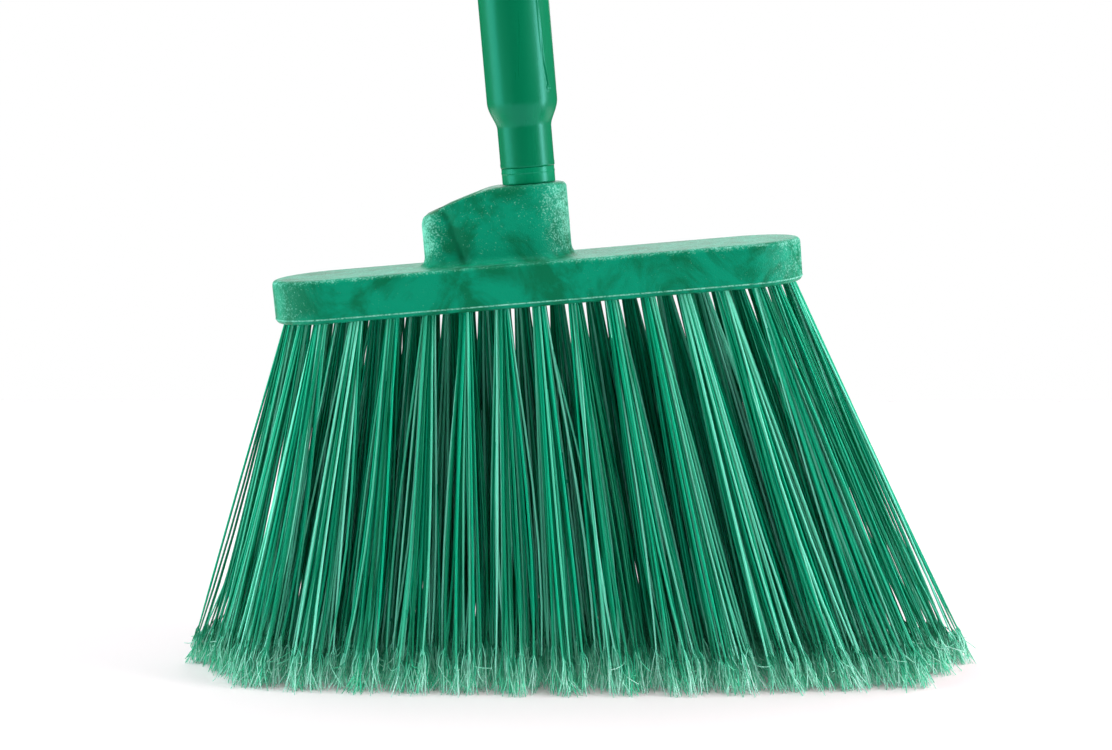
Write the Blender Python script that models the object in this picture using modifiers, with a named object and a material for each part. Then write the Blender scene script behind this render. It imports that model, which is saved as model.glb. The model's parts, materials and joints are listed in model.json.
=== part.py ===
"""Angle broom: a moulded block of fanned bristle tufts with a straight and an angled handle socket,
on a screw-in sleeved steel handle.

Run with blender --background --python part.py, or from Blender's text editor.
Metres, +Z up. The trimmed bristle ends stand on z = 0, and the origin is where the handle's axis meets
that sweeping face.

The head is laid out in its own frame: x along the block, y across it, z up from the block's underside.
The bristles are trimmed at an angle to the block, so one empty, head_frame, turns that frame until the
trimmed ends are level. A second empty, handle_axis, sits in the straight socket's mouth.
"""

import math

import bmesh
import bpy
from mathutils import Matrix, Vector

MM = 0.001

# Block
BLOCK_LENGTH = 197.5 * MM
BLOCK_WIDTH = 45 * MM
BLOCK_THICKNESS = 16.2 * MM
BLOCK_EDGE_ROUND = 2.2 * MM

# Bristles
TRIM_ANGLE = math.radians(4.8)  # between the block and the trimmed ends
TRIM_LENGTH = 142.5 * MM  # out of the block, on the handle's axis
FAN_CENTRE_HEIGHT = 300 * MM  # above the underside, where the tufts' lines meet
TUFTS_IN_ROW = (13, 14, 15, 12)  # front row first
END_MARGIN = 4.95 * MM  # from the block's end to the middle of its outermost tuft
SIDE_MARGIN = 6.75 * MM  # from the block's side to the middle of its outer row
ROW_FLARE = 1.5  # how much further apart the rows are at the trimmed ends
END_TAPER = 0.75  # how far along the half length of the footprint's ellipse the outermost tuft ends
TUFT_DIAMETER = 5.5 * MM  # where it leaves the block
TUFT_END_GAP = 2.0 * MM  # between the ends of neighbouring tufts
TUFT_END_DEPTH = 17.4 * MM  # across the block, in the middle of a row
HOLE_DEPTH = 10.5 * MM
HOLE_CLEARANCE = 0.3 * MM

# Sockets
BOSS_HEIGHT = 27.6 * MM  # above the block
BOSS_WALL = 4.1 * MM
BOSS_FOOT_RADIUS = 3.0 * MM
THREAD_DIAMETER = 19.05 * MM  # 3/4 inch broom thread
THREAD_PITCH = 5.08 * MM  # 5 turns to the inch
THREAD_DEPTH = 1.9 * MM
THREAD_LENGTH = 19 * MM
THREAD_CLEARANCE = 0.2 * MM
SOCKET_DEPTH = 20.5 * MM
ANGLED_SOCKET_TILT = math.radians(16.8)
LOBE_CORNER = 9.0 * MM
LOBE_SET_BACK = 1.2 * MM  # of the lobe's front from the boss's

# Handle
TUBE_DIAMETER = 25.0 * MM
TUBE_WALL = 0.8 * MM
NECK_DIAMETER = 19.0 * MM  # of the swaged tube
NECK_LENGTH = 14.5 * MM
SHOULDER_LENGTH = 10 * MM
HANDLE_LENGTH = 1200 * MM  # out of the socket, with the cap
SLEEVE_THICKNESS = 0.4 * MM
SLEEVE_GAP = 0.1 * MM  # both are turned with the same steps, so their facets stay parallel
COLLAR_LAND = 0.1 * MM  # how far the collar reaches past the socket's wall, onto its rim
COLLAR_HEIGHT = 6.1 * MM
SPIGOT_LENGTH = 22 * MM  # of the tip, inside the neck
SPIGOT_GAP = 0.3 * MM
SEAT_GAP = 0.3 * MM  # between pieces that rest on each other

# Cap
CAP_HEIGHT = 34 * MM
CAP_END_THICKNESS = 11 * MM
CAP_END_ROUND = 9 * MM
CAP_PLUG_LENGTH = 28 * MM
HANG_HOLE_DIAMETER = 11 * MM

ROUND_STEPS = 32
TUFT_STEPS = 12
CORNER_STEPS = 10
OVERLAP = 4 * MM  # how far joined shapes run into each other, and cutters out of the part

GREEN = (0.0, 0.27, 0.13, 1.0)
GREEN_TUFT = (0.0, 0.30, 0.15, 1.0)
STEEL = (0.55, 0.55, 0.55, 1.0)


# ---------------------------------------------------------------- worked out from the sizes above

TUFT_PITCH = (BLOCK_LENGTH - 2 * END_MARGIN) / (max(TUFTS_IN_ROW) - 1)
ROW_SPACING = (BLOCK_WIDTH - 2 * SIDE_MARGIN) / (len(TUFTS_IN_ROW) - 1)
HALF_THREAD = THREAD_DIAMETER / 2
SOCKET_RADIUS = HALF_THREAD + THREAD_CLEARANCE
BOSS_RADIUS = SOCKET_RADIUS + BOSS_WALL
BOSS_TOP = BLOCK_THICKNESS + BOSS_HEIGHT
SLOPE_START = -BOSS_RADIUS - SEAT_GAP  # x where the top starts to slope down
SLOPE_LENGTH = 2 * BOSS_RADIUS - 1.3 * MM
SLOPE_ALONG = Vector((-math.cos(ANGLED_SOCKET_TILT), 0, -math.sin(ANGLED_SOCKET_TILT)))
SLOPE_NORMAL = Vector((-math.sin(ANGLED_SOCKET_TILT), 0, math.cos(ANGLED_SOCKET_TILT)))
SLOPE_EDGE = Vector((SLOPE_START, 0, BOSS_TOP))
ANGLED_MOUTH = SLOPE_EDGE + SLOPE_ALONG * SLOPE_LENGTH / 2
LOBE_END = (SLOPE_EDGE + SLOPE_ALONG * SLOPE_LENGTH).x - 1.5 * MM
SLEEVE_INNER = TUBE_DIAMETER / 2 + SLEEVE_GAP
SLEEVE_OUTER = SLEEVE_INNER + SLEEVE_THICKNESS
TUBE_TOP = HANDLE_LENGTH - CAP_HEIGHT - SEAT_GAP


# ---------------------------------------------------------------- helpers


def clear_scene():
    for old in list(bpy.data.objects):
        bpy.data.objects.remove(old, do_unlink=True)


def collection(name):
    made = bpy.data.collections.new(name)
    bpy.context.scene.collection.children.link(made)
    return made


def material(name, colour, roughness, metallic=0.0):
    made = bpy.data.materials.new(name)
    made.use_nodes = True
    shader = made.node_tree.nodes["Principled BSDF"]
    shader.inputs["Base Color"].default_value = colour
    shader.inputs["Roughness"].default_value = roughness
    shader.inputs["Metallic"].default_value = metallic
    return made


def empty(name, group, parent=None, location=(0, 0, 0), turn_y=0.0):
    made = bpy.data.objects.new(name, None)
    group.objects.link(made)
    made.parent = parent
    made.location = location
    made.rotation_euler = (0, turn_y, 0)
    return made


def place(obj, group, parent, location=(0, 0, 0), made_of=None):
    """Puts a finished object in its collection, on its parent, with its material."""
    for holder in list(obj.users_collection):
        holder.objects.unlink(obj)
    group.objects.link(obj)
    obj.parent = parent
    obj.location = location
    if made_of:
        obj.data.materials.append(made_of)
        obj.data.shade_smooth()
        obj.data.set_sharp_from_angle(angle=math.radians(35))
    else:
        obj.hide_render = True
        obj.display_type = "WIRE"
    return obj


def rounded_outline(x0, x1, half_depth, corner):
    """A rectangle with round corners, as (x, y) points anticlockwise from its right side."""
    points = []
    for quarter, (cx, cy) in enumerate(
        [
            (x1 - corner, half_depth - corner),
            (x0 + corner, half_depth - corner),
            (x0 + corner, corner - half_depth),
            (x1 - corner, corner - half_depth),
        ]
    ):
        for step in range(CORNER_STEPS + 1):
            angle = math.pi / 2 * (quarter + step / CORNER_STEPS)
            point = (cx + corner * math.cos(angle), cy + corner * math.sin(angle))
            if not points or math.dist(point, points[-1]) > 0.01 * MM:
                points.append(point)
    if math.dist(points[0], points[-1]) < 0.01 * MM:
        points.pop()
    return points


def plate(name, outline, thickness):
    """A flat outline given a thickness, as a filled 2D curve made into a mesh."""
    curve = bpy.data.curves.new(name, "CURVE")
    curve.dimensions = "2D"
    curve.fill_mode = "BOTH"
    curve.extrude = thickness / 2
    spline = curve.splines.new("POLY")
    spline.points.add(len(outline) - 1)
    for point, (x, y) in zip(spline.points, outline):
        point.co = (x, y, 0, 1)
    spline.use_cyclic_u = True
    drawn = bpy.data.objects.new(name, curve)
    bpy.context.scene.collection.objects.link(drawn)
    graph = bpy.context.evaluated_depsgraph_get()
    mesh = bpy.data.meshes.new_from_object(drawn.evaluated_get(graph))
    bpy.data.objects.remove(drawn)
    shape = bmesh.new()
    shape.from_mesh(mesh)
    bmesh.ops.remove_doubles(shape, verts=shape.verts, dist=0.01 * MM)
    bmesh.ops.recalc_face_normals(shape, faces=shape.faces)
    bmesh.ops.translate(shape, verts=shape.verts, vec=(0, 0, thickness / 2))
    shape.to_mesh(mesh)
    shape.free()
    made = bpy.data.objects.new(name, mesh)
    bpy.context.scene.collection.objects.link(made)
    return made


def loft(name, rings):
    """A closed solid through rings of matching points, each a list of (x, y, z), with flat ends."""
    shape = bmesh.new()
    rows = [[shape.verts.new(point) for point in ring] for ring in rings]
    count = len(rows[0])
    for lower, upper in zip(rows, rows[1:]):
        for k in range(count):
            after = (k + 1) % count
            shape.faces.new((lower[k], lower[after], upper[after], upper[k]))
    shape.faces.new(reversed(rows[0]))
    shape.faces.new(rows[-1])
    bmesh.ops.recalc_face_normals(shape, faces=shape.faces)
    mesh = bpy.data.meshes.new(name)
    shape.to_mesh(mesh)
    shape.free()
    made = bpy.data.objects.new(name, mesh)
    bpy.context.scene.collection.objects.link(made)
    return made


def turned(name, profile, closed=False):
    """A profile of (radius, height) points turned round Z. It runs down the outside."""
    mesh = bpy.data.meshes.new(name)
    edges = [(k, k + 1) for k in range(len(profile) - 1)]
    if closed:
        edges.append((len(profile) - 1, 0))
    mesh.from_pydata([(r, 0, z) for r, z in profile], edges, [])
    made = bpy.data.objects.new(name, mesh)
    bpy.context.scene.collection.objects.link(made)
    screw = made.modifiers.new("turn", "SCREW")
    screw.steps = ROUND_STEPS
    screw.render_steps = ROUND_STEPS
    screw.use_merge_vertices = True
    screw.merge_threshold = 0.01 * MM
    screw.use_smooth_shade = True
    return made


def frame_along(direction):
    """A turn that takes Z to a direction and keeps X as near to X as it can be."""
    side = Vector((1, 0, 0))
    side = (side - direction * side.dot(direction)).normalized()
    return Matrix((side, direction.cross(side), direction)).transposed()


def cylinder(name, radius, depth, foot, along, sides=ROUND_STEPS):
    """A cylinder that starts at foot and runs the given depth along a direction."""
    direction = Vector(along).normalized()
    bpy.ops.mesh.primitive_cylinder_add(vertices=sides, radius=radius, depth=depth)
    made = bpy.context.object
    made.name = name
    turn = frame_along(direction).to_4x4()
    turn.translation = Vector(foot) + direction * depth / 2
    made.data.transform(turn)
    return made


def joined(name, pieces):
    """Several loose shapes as one object, such as all the cutters of one kind."""
    mesh = bpy.data.meshes.new(name)
    shape = bmesh.new()
    for piece in pieces:
        shape.from_mesh(piece.data)
        bpy.data.objects.remove(piece)
    shape.to_mesh(mesh)
    shape.free()
    made = bpy.data.objects.new(name, mesh)
    bpy.context.scene.collection.objects.link(made)
    return made


def boolean(target, tool, operation):
    made = target.modifiers.new(tool.name, "BOOLEAN")
    made.operation = operation
    made.solver = "EXACT"
    made.object = tool


# ---------------------------------------------------------------- tufts


def tuft_places():
    """(row, number, x, y) of each tuft where it leaves the block. Odd and even rows are staggered."""
    rows = len(TUFTS_IN_ROW)
    for row, count in enumerate(TUFTS_IN_ROW):
        y = (row - (rows - 1) / 2) * ROW_SPACING
        for number in range(count):
            yield row, number, (number - (count - 1) / 2) * TUFT_PITCH, y


def tuft_end(x, y):
    """Middle and half sizes of a tuft's end, at the trim length below its place in the block."""
    fan = 1 + TRIM_LENGTH / FAN_CENTRE_HEIGHT
    outermost = BLOCK_LENGTH / 2 - END_MARGIN
    narrowing = math.sqrt(1 - (END_TAPER * x / outermost) ** 2)
    centre = Vector((x * fan, y * ROW_FLARE * narrowing, -TRIM_LENGTH))
    return centre, (TUFT_PITCH * fan - TUFT_END_GAP) / 2, TUFT_END_DEPTH / 2 * narrowing**1.5


def tuft_rings(x, y):
    """The tuft's trimmed end, its round section in the hole's mouth, and its end in the hole."""
    centre, half_x, half_y = tuft_end(x, y)
    place = Vector((x, y, 0))
    inward = (place - centre).normalized()
    turn = frame_along(inward)
    slope = math.tan(TRIM_ANGLE)
    trimmed, in_mouth, in_hole = [], [], []
    for step in range(TUFT_STEPS):
        angle = 2 * math.pi * step / TUFT_STEPS
        around = Vector((math.cos(angle), math.sin(angle), 0))
        mouth = place + turn @ around * TUFT_DIAMETER / 2
        side = centre + Vector((half_x * around.x, half_y * around.y, 0)) - mouth
        to_floor = (TRIM_LENGTH + slope * mouth.x + mouth.z) / (-side.z - slope * side.x)
        trimmed.append(mouth + side * to_floor)
        in_mouth.append(mouth)
        in_hole.append(mouth + inward * (HOLE_DEPTH - HOLE_CLEARANCE))
    return [trimmed, in_mouth, in_hole]


def make_tufts(group, parent, made_of):
    for row, number, x, y in tuft_places():
        name = f"tuft_row{row + 1}_{number + 1:02d}"
        middle = Vector((x, y, 0))
        rings = [[point - middle for point in ring] for ring in tuft_rings(x, y)]
        place(loft(name, rings), group, parent, middle, made_of)


def tuft_hole_cutter():
    holes = []
    for _row, _number, x, y in tuft_places():
        mouth = Vector((x, y, 0))
        inward = (mouth - tuft_end(x, y)[0]).normalized()
        radius = TUFT_DIAMETER / 2 + HOLE_CLEARANCE
        foot = mouth - inward * OVERLAP
        holes.append(cylinder("hole", radius, HOLE_DEPTH + OVERLAP, foot, inward, TUFT_STEPS))
    return joined("tuft_hole_cutter", holes)


# ---------------------------------------------------------------- block and sockets


def foot_flare(height):
    """How far the boss's foot spreads at a height above the block, as a quarter-round fillet."""
    left = max(0.0, BOSS_FOOT_RADIUS - height)
    return BOSS_FOOT_RADIUS - math.sqrt(BOSS_FOOT_RADIUS**2 - left**2)


def boss_levels():
    """Heights of the boss's rings: inside the block, up its fillet, and its flat top."""
    fillet = [BOSS_FOOT_RADIUS * share for share in (0, 0.08, 0.3, 0.6, 1)]
    return [-OVERLAP, *fillet, BOSS_HEIGHT]


def ring_at(x0, x1, half_depth, corner, height):
    flare = foot_flare(max(0.0, height))
    outline = rounded_outline(x0 - flare, x1 + flare, half_depth + flare, corner + flare)
    return [(x, y, BLOCK_THICKNESS + height) for x, y in outline]


def straight_boss():
    """Round at both ends. Its left end leans with the angled socket."""
    lean = math.tan(ANGLED_SOCKET_TILT)
    rings = []
    for height in boss_levels():
        middle = ANGLED_MOUTH.x + (ANGLED_MOUTH.z - BLOCK_THICKNESS - height) * lean
        left = middle - BOSS_RADIUS
        rings.append(ring_at(left, BOSS_RADIUS, BOSS_RADIUS, BOSS_RADIUS, height))
    return loft("straight_boss", rings)


def angled_lobe():
    """The upright column that closes the left side, under the angled socket's mouth."""
    right = ANGLED_MOUTH.x + LOBE_CORNER
    depth = BOSS_RADIUS - LOBE_SET_BACK
    rings = [ring_at(LOBE_END, right, depth, LOBE_CORNER, h) for h in boss_levels()]
    return loft("angled_lobe", rings)


def slope_cutter():
    """A box whose underside is the sloping face."""
    size = 4 * BOSS_RADIUS
    bpy.ops.mesh.primitive_cube_add(size=size)
    made = bpy.context.object
    made.name = "slope_cutter"
    turn = frame_along(SLOPE_NORMAL).to_4x4()
    turn.translation = SLOPE_EDGE + (SLOPE_NORMAL + SLOPE_ALONG) * size / 2
    made.data.transform(turn)
    return made


def make_block(parts, cutters, parent, made_of):
    outline = rounded_outline(
        -BLOCK_LENGTH / 2, BLOCK_LENGTH / 2, BLOCK_WIDTH / 2, BLOCK_WIDTH / 2
    )
    block = plate("broom_block", outline, BLOCK_THICKNESS)
    edges = block.modifiers.new("rounded_edges", "BEVEL")
    edges.width = BLOCK_EDGE_ROUND
    edges.segments = 3
    edges.limit_method = "ANGLE"
    edges.angle_limit = math.radians(60)
    place(block, parts, parent, made_of=made_of)

    up = Vector((0, 0, 1))
    slope = place(slope_cutter(), cutters, parent)
    for boss in (straight_boss(), angled_lobe()):
        place(boss, cutters, parent)
        boolean(boss, slope, "DIFFERENCE")
        boolean(block, boss, "UNION")
    straight_foot = up * (BOSS_TOP - SOCKET_DEPTH)
    angled_foot = ANGLED_MOUTH - SLOPE_NORMAL * SOCKET_DEPTH
    sockets = (
        cylinder("straight_socket", SOCKET_RADIUS, SOCKET_DEPTH + OVERLAP, straight_foot, up),
        cylinder("angled_socket", SOCKET_RADIUS, SOCKET_DEPTH + OVERLAP, angled_foot, SLOPE_NORMAL),
        tuft_hole_cutter(),
    )
    for socket in sockets:
        place(socket, cutters, parent)
        boolean(block, socket, "DIFFERENCE")


# ---------------------------------------------------------------- handle


def swaged_side(tube_radius, neck_radius, top):
    """(radius, height) down one side of the tube: straight, a smooth shoulder, and the neck."""
    neck_foot = COLLAR_HEIGHT + SEAT_GAP
    shoulder_foot = neck_foot + NECK_LENGTH
    side = [(tube_radius, top)]
    for step in range(7):
        share = step / 6
        ease = (1 + math.cos(math.pi * share)) / 2
        radius = neck_radius + (tube_radius - neck_radius) * ease
        side.append((radius, shoulder_foot + SHOULDER_LENGTH * (1 - share)))
    side.append((neck_radius, neck_foot))
    return side


def swaged_shell(name, outer_radius, inner_radius, neck_inset):
    """A tube with a swaged neck. neck_inset is how much smaller the neck's radius is."""
    outside = swaged_side(outer_radius, outer_radius - neck_inset, TUBE_TOP)
    inside = swaged_side(inner_radius, inner_radius - neck_inset, TUBE_TOP)
    return turned(name, [*outside, *reversed(inside)], closed=True)


def thread_ring(turn, foot):
    """The thread's section at a number of turns up from its foot, from its root to its crest and back."""
    angle = 2 * math.pi * turn
    root = HALF_THREAD - THREAD_DEPTH - 0.6 * MM
    section = [(root, -1.7), (HALF_THREAD, -0.8), (HALF_THREAD, 0.8), (root, 1.7)]
    return [
        (r * math.cos(angle), r * math.sin(angle), foot + turn * THREAD_PITCH + z * MM)
        for r, z in section
    ]


def make_tip(parts, cutters, parent, made_of):
    """Threaded tip: its thread is in the socket, its collar stands on it, and its spigot is in the neck."""
    core = HALF_THREAD - THREAD_DEPTH
    collar = SOCKET_RADIUS + COLLAR_LAND
    spigot = NECK_DIAMETER / 2 - TUBE_WALL - SPIGOT_GAP
    spigot_top = COLLAR_HEIGHT + SPIGOT_LENGTH
    chamfer = 1.2 * MM
    tip = turned(
        "threaded_tip",
        [
            (0, spigot_top),
            (spigot - chamfer, spigot_top),
            (spigot, spigot_top - chamfer),
            (spigot, COLLAR_HEIGHT),
            (collar, COLLAR_HEIGHT),
            (collar, SEAT_GAP),
            (core, SEAT_GAP),
            (core, chamfer - THREAD_LENGTH),
            (core - chamfer, -THREAD_LENGTH),
            (0, -THREAD_LENGTH),
        ],
    )
    place(tip, parts, parent, made_of=made_of)
    foot = 2.4 * MM - THREAD_LENGTH
    turns = (THREAD_LENGTH - 4.4 * MM) / THREAD_PITCH
    steps = round(turns * 18)
    thread = loft("thread", [thread_ring(turns * k / steps, foot) for k in range(steps + 1)])
    place(thread, cutters, parent)
    boolean(tip, thread, "UNION")


def make_cap(parts, cutters, parent, made_of):
    """End cap: a plug in the tube, then a round shoulder that flattens to an eye with a hang hole."""
    plug = TUBE_DIAMETER / 2 - TUBE_WALL - SPIGOT_GAP
    bottom = TUBE_TOP + SEAT_GAP
    rings = []
    levels = [
        (bottom - CAP_PLUG_LENGTH, plug - 1 * MM, plug - 1 * MM),
        (bottom - CAP_PLUG_LENGTH + 1 * MM, plug, plug),
        (bottom, plug, plug),
        (bottom, SLEEVE_OUTER, SLEEVE_OUTER),
    ]
    for share in (0.25, 0.5, 0.7, 0.85, 1.0):
        ease = (1 - math.cos(math.pi * min(1.0, share / 0.6))) / 2
        depth = SLEEVE_OUTER + (CAP_END_THICKNESS / 2 - SLEEVE_OUTER) * ease
        across_end = CAP_HEIGHT * share - (CAP_HEIGHT - CAP_END_ROUND)
        left = math.sqrt(1 - max(0.0, across_end / CAP_END_ROUND) ** 2 * 0.9)
        levels.append((bottom + CAP_HEIGHT * share, SLEEVE_OUTER * (0.45 + 0.55 * left), depth))
    for height, half_x, half_y in levels:
        ring = []
        for step in range(ROUND_STEPS):
            angle = 2 * math.pi * step / ROUND_STEPS
            ring.append((half_x * math.cos(angle), half_y * math.sin(angle), height))
        rings.append(ring)
    cap = place(loft("hang_cap", rings), parts, parent, made_of=made_of)
    hole_height = HANDLE_LENGTH - CAP_END_ROUND - HANG_HOLE_DIAMETER / 2
    foot = (0, -2 * SLEEVE_OUTER, hole_height)
    hole = cylinder("hang_hole", HANG_HOLE_DIAMETER / 2, 4 * SLEEVE_OUTER, foot, (0, 1, 0), 24)
    boolean(cap, place(hole, cutters, parent), "DIFFERENCE")


def make_handle(parts, cutters, parent, steel, green):
    neck_inset = (TUBE_DIAMETER - NECK_DIAMETER) / 2
    tube_inner = TUBE_DIAMETER / 2 - TUBE_WALL
    tube = swaged_shell("handle_tube", TUBE_DIAMETER / 2, tube_inner, neck_inset)
    sleeve = swaged_shell("handle_sleeve", SLEEVE_OUTER, SLEEVE_INNER, neck_inset)
    place(tube, parts, parent, made_of=steel)
    place(sleeve, parts, parent, made_of=green)
    make_tip(parts, cutters, parent, green)
    make_cap(parts, cutters, parent, green)


# ---------------------------------------------------------------- the broom


def main():
    clear_scene()
    parts = collection("angle_broom")
    cutters = collection("cutters")
    green = material("green_polypropylene", GREEN, 0.45)
    bristle = material("green_bristle", GREEN_TUFT, 0.5)
    steel = material("steel_tube", STEEL, 0.35, 1.0)
    underside = (-TRIM_LENGTH * math.sin(TRIM_ANGLE), 0, TRIM_LENGTH * math.cos(TRIM_ANGLE))
    head_frame = empty("head_frame", parts, location=underside, turn_y=-TRIM_ANGLE)
    handle_axis = empty("handle_axis", parts, head_frame, location=(0, 0, BOSS_TOP))
    make_block(parts, cutters, head_frame, green)
    make_tufts(parts, head_frame, bristle)
    make_handle(parts, cutters, handle_axis, steel, green)


main()
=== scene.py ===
# %% [markdown]
# # An angle broom, piece by piece
#
# This notebook dresses an angle broom. Its solids already stand in the scene as a frame: a block, 54 tufts,
# a threaded tip, a swaged tube with a plastic sleeve, and a cap. Each cell adds the surface that the eye
# expects: moulded foam skin, split bristle ends, a glossy sleeve, screw threads. New shapes are surfaces
# worked out with numpy, as whole arrays of points.

# %% Load the frame
import json
import math

import bmesh
import bpy
import numpy as np
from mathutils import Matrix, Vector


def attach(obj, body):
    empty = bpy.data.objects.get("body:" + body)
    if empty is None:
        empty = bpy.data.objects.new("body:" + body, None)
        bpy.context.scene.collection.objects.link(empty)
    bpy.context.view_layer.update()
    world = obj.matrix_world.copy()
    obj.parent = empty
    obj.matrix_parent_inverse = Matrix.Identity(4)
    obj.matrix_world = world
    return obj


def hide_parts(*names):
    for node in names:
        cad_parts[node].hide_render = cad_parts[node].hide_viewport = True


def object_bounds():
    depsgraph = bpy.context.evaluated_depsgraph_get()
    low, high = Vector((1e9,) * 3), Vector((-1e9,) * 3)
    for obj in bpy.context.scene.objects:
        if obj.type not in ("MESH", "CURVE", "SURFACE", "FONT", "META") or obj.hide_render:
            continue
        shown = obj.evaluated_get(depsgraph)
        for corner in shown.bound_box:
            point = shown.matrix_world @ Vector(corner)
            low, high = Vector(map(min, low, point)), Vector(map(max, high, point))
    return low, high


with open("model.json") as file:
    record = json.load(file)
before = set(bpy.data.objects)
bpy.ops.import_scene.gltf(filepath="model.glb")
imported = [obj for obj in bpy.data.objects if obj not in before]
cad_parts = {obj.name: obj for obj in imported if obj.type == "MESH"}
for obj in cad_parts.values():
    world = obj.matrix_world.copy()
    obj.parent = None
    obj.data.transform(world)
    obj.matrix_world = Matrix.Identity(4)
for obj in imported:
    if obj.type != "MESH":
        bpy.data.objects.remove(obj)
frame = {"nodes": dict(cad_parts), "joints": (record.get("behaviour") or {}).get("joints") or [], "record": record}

cad_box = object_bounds()
MM = 0.001
rng = np.random.default_rng(54)

# %% [markdown]
# ## One frame for the head
#
# The bristles are trimmed at a slant, so the block stands tilted on the level floor. Everything on it is
# easier to describe along its own directions: x along the block, y across it, z out of it up the handle. The
# handle's joint gives that z direction, and its axis passes through the origin on the floor.

# %% Head directions, and the two turns between head and world
handle_joint = next(j for j in frame["joints"] if j["name"] == "handle_unscrew")
UP = np.array(handle_joint["axis"]) / np.linalg.norm(handle_joint["axis"])
ACROSS = np.array([0.0, 1.0, 0.0])
ALONG = np.cross(ACROSS, UP)
TURN = np.array([ALONG, ACROSS, UP])


def node_points(name):
    """A solid's corners as rows of world x, y, z, each place once."""
    mesh = frame["nodes"][name].data
    points = np.empty(len(mesh.vertices) * 3, np.float32)
    mesh.vertices.foreach_get("co", points)
    return np.unique(points.reshape(-1, 3).round(6), axis=0).astype(float)


def to_world(points, base=0.0):
    """Head points, whose heights count from base along the handle's axis, as world points."""
    points = np.asarray(points, float)
    return points @ TURN + base * UP


def to_head(points, base=0.0):
    """World points as head points: each coordinate is the share along one of the head's directions."""
    return (np.asarray(points, float) - base * UP) @ TURN.T


block_points = to_head(node_points("broom_block"))
UNDERSIDE = block_points[:, 2].min()
SOCKET_TOP = block_points[:, 2].max()
print(f"underside {UNDERSIDE / MM:.1f} mm and socket {SOCKET_TOP / MM:.1f} mm up the axis")

# %% [markdown]
# ## Small helpers
#
# Three helpers serve every piece. One turns an sRGB hex colour, as a paint chart gives it, into the linear
# numbers that a shader wants. One adds a shader node with its settings and links. One turns a grid of points
# into a mesh.

# %% Colour and shader-node helpers
def colour(code):
    """sRGB hex to linear RGBA: up to 0.04045 a channel is divided by 12.92, above that raised to 2.4."""
    srgb = np.array([int(code[k : k + 2], 16) for k in (1, 3, 5)]) / 255
    flat = np.where(srgb <= 0.04045, srgb / 12.92, ((srgb + 0.055) / 1.055) ** 2.4)
    return (*flat.tolist(), 1.0)


def add_node(tree, kind, inputs=None, **settings):
    """Adds a node; inputs maps a socket's name or number to a value or to another node's output."""
    made = tree.nodes.new(kind)
    for name, value in settings.items():
        setattr(made, name, value)
    for key, value in (inputs or {}).items():
        socket = made.inputs[key]
        if isinstance(value, bpy.types.NodeSocket):
            tree.links.new(value, socket)
        else:
            socket.default_value = value
    return made


def new_material(name):
    """An empty material with its shader and output joined. Returns the material, its tree and its shader."""
    made = bpy.data.materials.new(name)
    made.use_nodes = True
    tree = made.node_tree
    tree.nodes.clear()
    shader = add_node(tree, "ShaderNodeBsdfPrincipled")
    add_node(tree, "ShaderNodeOutputMaterial", {"Surface": shader.outputs[0]})
    return made, tree, shader


# %% A mesh from grids of points
def grid_faces(rows, columns):
    """Quads between neighbouring rows of a grid whose last column joins the first."""
    row, column = np.meshgrid(np.arange(rows - 1), np.arange(columns), indexing="ij")
    after = (column + 1) % columns
    low, high = row * columns, (row + 1) * columns
    return np.stack([low + column, low + after, high + after, high + column], -1).reshape(-1, 4)


def piece(name, points, faces, material, attributes=None):
    """An object at the origin from world points and lists of faces, smooth shaded, with point attributes."""
    mesh = bpy.data.meshes.new(name)
    mesh.from_pydata(np.asarray(points).tolist(), [], faces)
    mesh.update()
    for key, values in (attributes or {}).items():
        layer = mesh.attributes.new(key, "FLOAT", "POINT")
        layer.data.foreach_set("value", np.asarray(values, np.float32))
    mesh.shade_smooth()
    mesh.materials.append(material)
    made = bpy.data.objects.new(name, mesh)
    bpy.context.scene.collection.objects.link(made)
    return made


# %% [markdown]
# ## The block's material: foam-moulded polypropylene
#
# The block is foamed polypropylene: a hard skin over a core of fine cells. Such a skin shows where the melt
# ran, as darker and lighter swirls some 30 mm wide, under a mottle of a few millimetres. Burst cells leave
# pale specks of about half a millimetre, thickest where the block has been rubbed: on its ends and edges.
# The same pale specks are thickened further as painted sheen on the top faces, the round ends and the lobe,
# and the crease between boss and lobe is painted darker as shade.

# %% Foam-moulded polypropylene
SKIN_DARK = "#006c45"
SKIN_MID = "#008f6b"
# pale of burst cells; where the mask thickens it on tops, ends and lobe, this pale is painted sheen
SKIN_PALE = "#88d3be"
FLOW_WIDTH = 34 * MM
MOTTLE_WIDTH = 4 * MM
SPECK_WIDTH = 0.7 * MM  # real specks are half as wide: drawn coarser so that they show
PIT_DEPTH = 0.3 * MM
POLYPROPYLENE_IOR = 1.49
GREEN_GLINT = colour("#88ffff")  # tints mirror light, as dye in the skin does


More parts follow.
